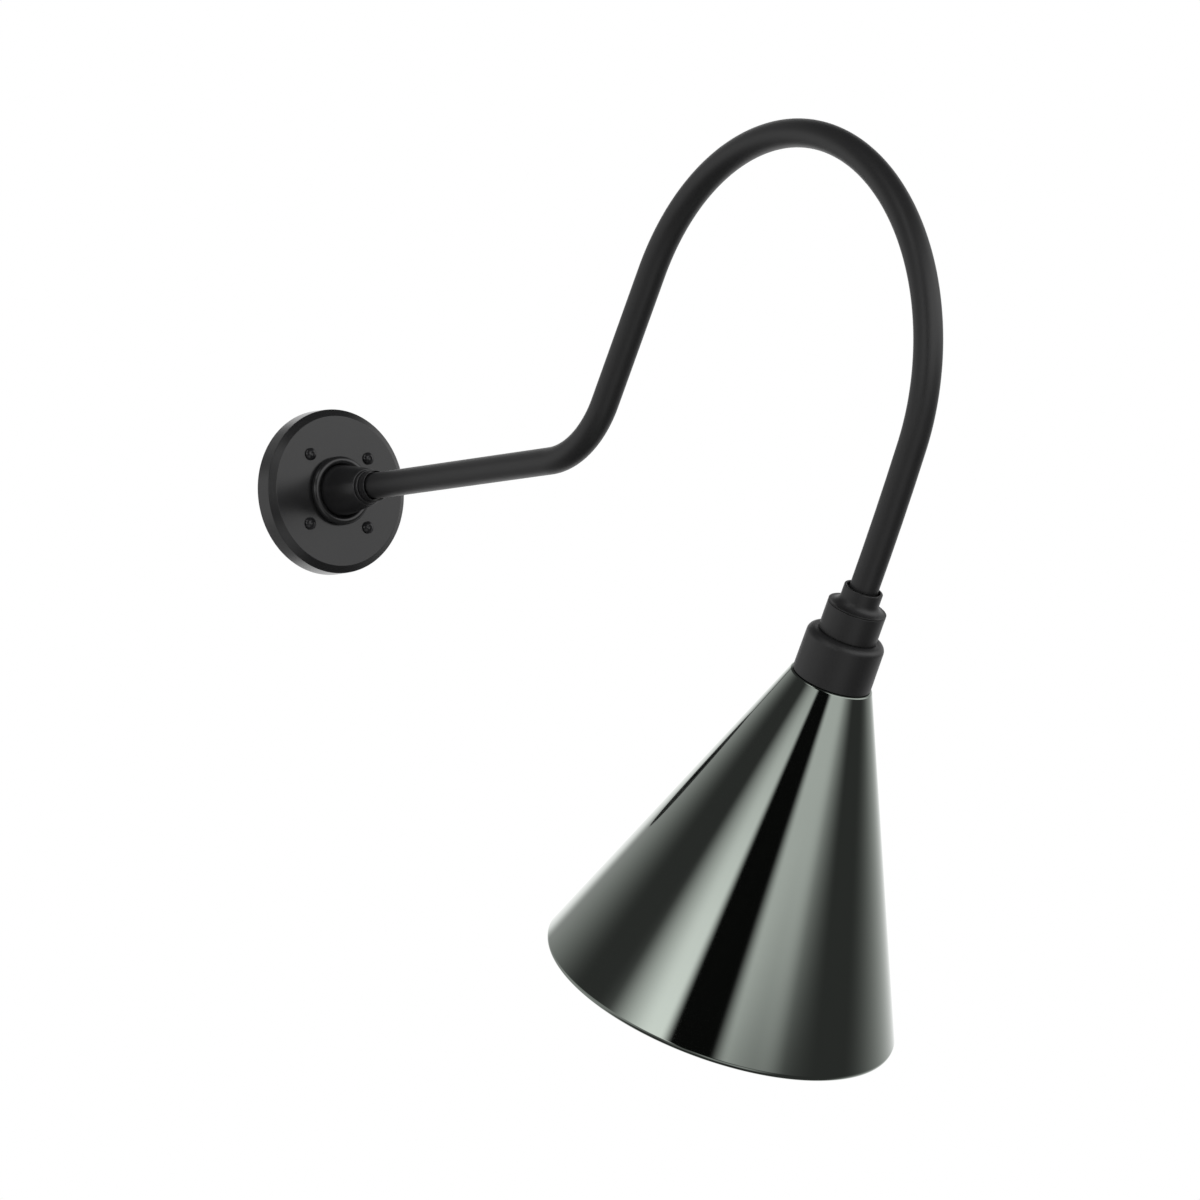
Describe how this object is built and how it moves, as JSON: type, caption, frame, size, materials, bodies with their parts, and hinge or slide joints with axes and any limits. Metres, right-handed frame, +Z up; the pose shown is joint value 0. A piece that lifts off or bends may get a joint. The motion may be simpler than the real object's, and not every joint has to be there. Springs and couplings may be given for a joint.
{
  "type": "gooseneck wall sconce",
  "caption": "Wall light with a round plate, a long arched gooseneck tube and a downward cone shade on a stepped neck.",
  "frame": {"origin": "centre of the wall plate's back, on the wall plane", "axes": "+Z up, +Y into the wall, the lamp projects along -Y, +X to the right for someone facing the wall"},
  "size_m": [0.2524, 0.7188, 0.6604],
  "materials": {
    "black_coat": "matte black powder coat",
    "black_nickel": "polished black nickel plate with a faint green-grey cast",
    "black_screw": "black-coated steel",
    "zinc_steel": "bright zinc plate",
    "green_screw": "green-dyed zinc plate",
    "shell_brass": "plain rolled brass",
    "porcelain": "white glaze",
    "gasket_foam": "closed-cell foam",
    "black_lead": "black sleeved lead",
    "white_lead": "white sleeved lead"
  },
  "bodies": {
    "root": {"wall_gasket": "gasket_foam", "wall_plate": "black_coat", "mounting_bracket": "zinc_steel", "plate_screw_upper_left": "black_screw", "plate_screw_upper_right": "black_screw", "plate_screw_lower_left": "black_screw", "plate_screw_lower_right": "black_screw", "ground_screw": "green_screw", "arm_hub": "black_coat", "hub_set_screw": "black_screw", "hub_lock_washer": "zinc_steel", "hub_lock_nut": "zinc_steel", "arm_collar": "black_coat", "gooseneck_arm": "black_coat", "line_lead": "black_lead", "neutral_lead": "white_lead", "arm_end_bushing": "zinc_steel", "neck_cup": "black_coat", "spacer_cap": "black_coat", "shade_holder": "black_coat", "threaded_nipple": "zinc_steel", "socket_strap": "zinc_steel", "nipple_washer": "zinc_steel", "nipple_lock_nut": "zinc_steel", "lamp_socket": "porcelain", "socket_screw_left": "zinc_steel", "socket_screw_right": "zinc_steel", "screw_shell": "shell_brass", "centre_contact": "shell_brass", "shade_ring": "zinc_steel", "cone_shade": "black_nickel"}
  },
  "joints": []
}
